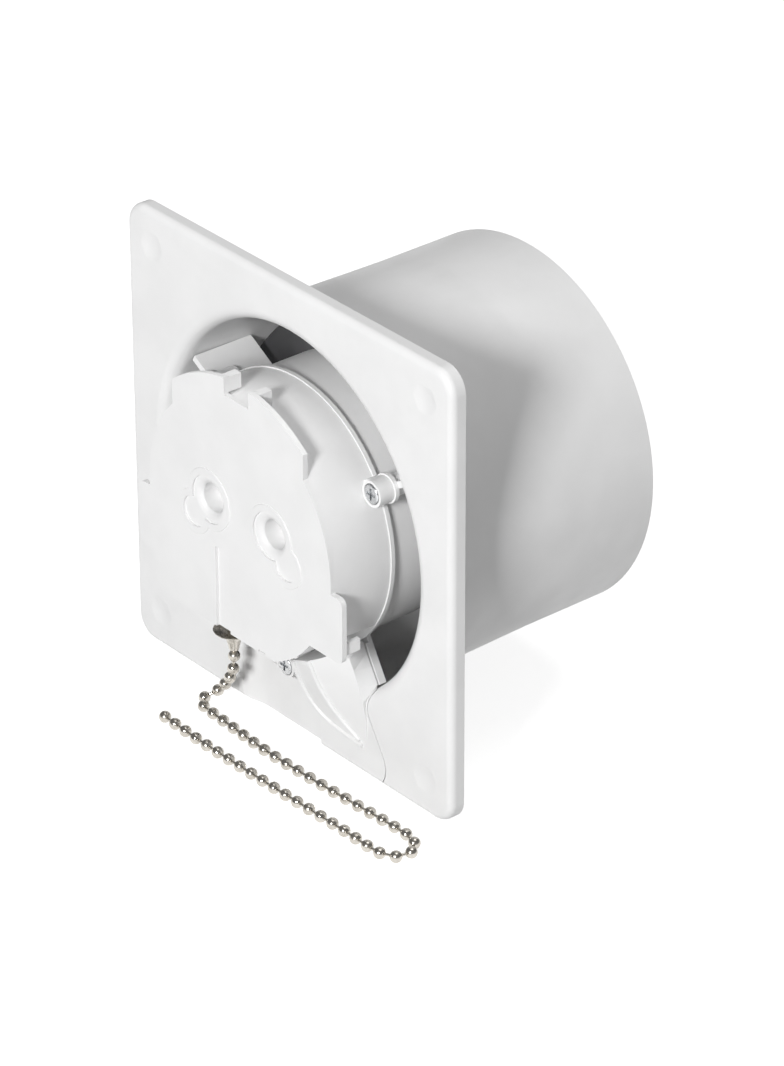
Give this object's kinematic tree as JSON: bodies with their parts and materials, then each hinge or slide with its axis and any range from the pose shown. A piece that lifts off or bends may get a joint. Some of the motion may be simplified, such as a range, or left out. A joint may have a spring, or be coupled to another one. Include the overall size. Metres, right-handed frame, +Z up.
{
  "type": "bathroom exhaust fan",
  "caption": "Axial exhaust fan for a round duct, with a square wall plate, a pull switch on a bead chain, and its front panel taken off so the terminal box cover shows",
  "frame": {"origin": "centre of the wall plate's back face, on the duct's axis", "axes": "X to the right, Y into the wall along the duct, Z up; the front faces -Y"},
  "size_m": [0.1635, 0.1275, 0.157],
  "materials": {
    "white_plastic": "white moulded plastic with a soft gloss",
    "clear_white_plastic": "natural nylon",
    "pale_plastic": "natural acetal",
    "dark_plastic": "black moulded plastic",
    "zinc_steel": "zinc-plated steel",
    "spring_steel": "bright spring steel",
    "core_steel": "stacked steel laminations",
    "shaft_steel": "ground steel",
    "rotor_aluminium": "cast aluminium cage on steel laminations",
    "zinc_alloy": "die-cast zinc alloy",
    "brass": "bright brass",
    "bronze": "sintered bronze",
    "copper_wire": "enamelled copper wire",
    "nickel": "nickel-plated brass",
    "lead_insulation": "brown soft insulation"
  },
  "bodies": {
    "fixed": {"housing": "white_plastic", "cable_cover": "white_plastic", "motor_spider": "white_plastic", "terminal_box": "white_plastic", "front_cover": "white_plastic", "box_screws": "zinc_steel", "terminal_block": "clear_white_plastic", "terminal_screws": "brass", "switch_case": "dark_plastic", "switch_lid": "dark_plastic", "switch_spring": "spring_steel", "switch_contacts": "brass", "switch_lead": "lead_insulation", "motor_leads": "lead_insulation", "bead_chain": "nickel", "stator_core": "core_steel", "coil_bobbin": "pale_plastic", "coil_winding": "copper_wire", "front_bracket": "zinc_alloy", "rear_bracket": "zinc_alloy", "front_bush": "bronze", "rear_bush": "bronze", "motor_bolts": "zinc_steel"},
    "turning": {"motor_shaft": "shaft_steel", "rotor": "rotor_aluminium", "impeller": "dark_plastic", "impeller_clip": "spring_steel"},
    "pull": {"switch_plunger": "pale_plastic", "chain_bell": "nickel"},
    "cam": {"switch_cam": "pale_plastic"}
  },
  "joints": [
    {"name": "impeller_spin", "type": "hinge", "parent": "fixed", "child": "turning", "pos_m": [0, 0.03, 0], "axis": [0, 1, 0], "continuous": true},
    {"name": "chain_pull", "type": "slide", "parent": "fixed", "child": "pull", "axis": [0, 0, -1], "range_m": [0, 0.005], "stiffness_N_per_m": 600, "springref_m": -0.003, "deforming": ["switch_spring", "bead_chain"]},
    {"name": "cam_turn", "type": "hinge", "parent": "fixed", "child": "cam", "pos_m": [-0.0156, -0.015, -0.0178], "axis": [0, 0, 1], "range_deg": [0, 45]}
  ],
  "couplings": [
    {"joint": "cam_turn", "follows": "chain_pull", "rad_per_m": 157.08}
  ]
}
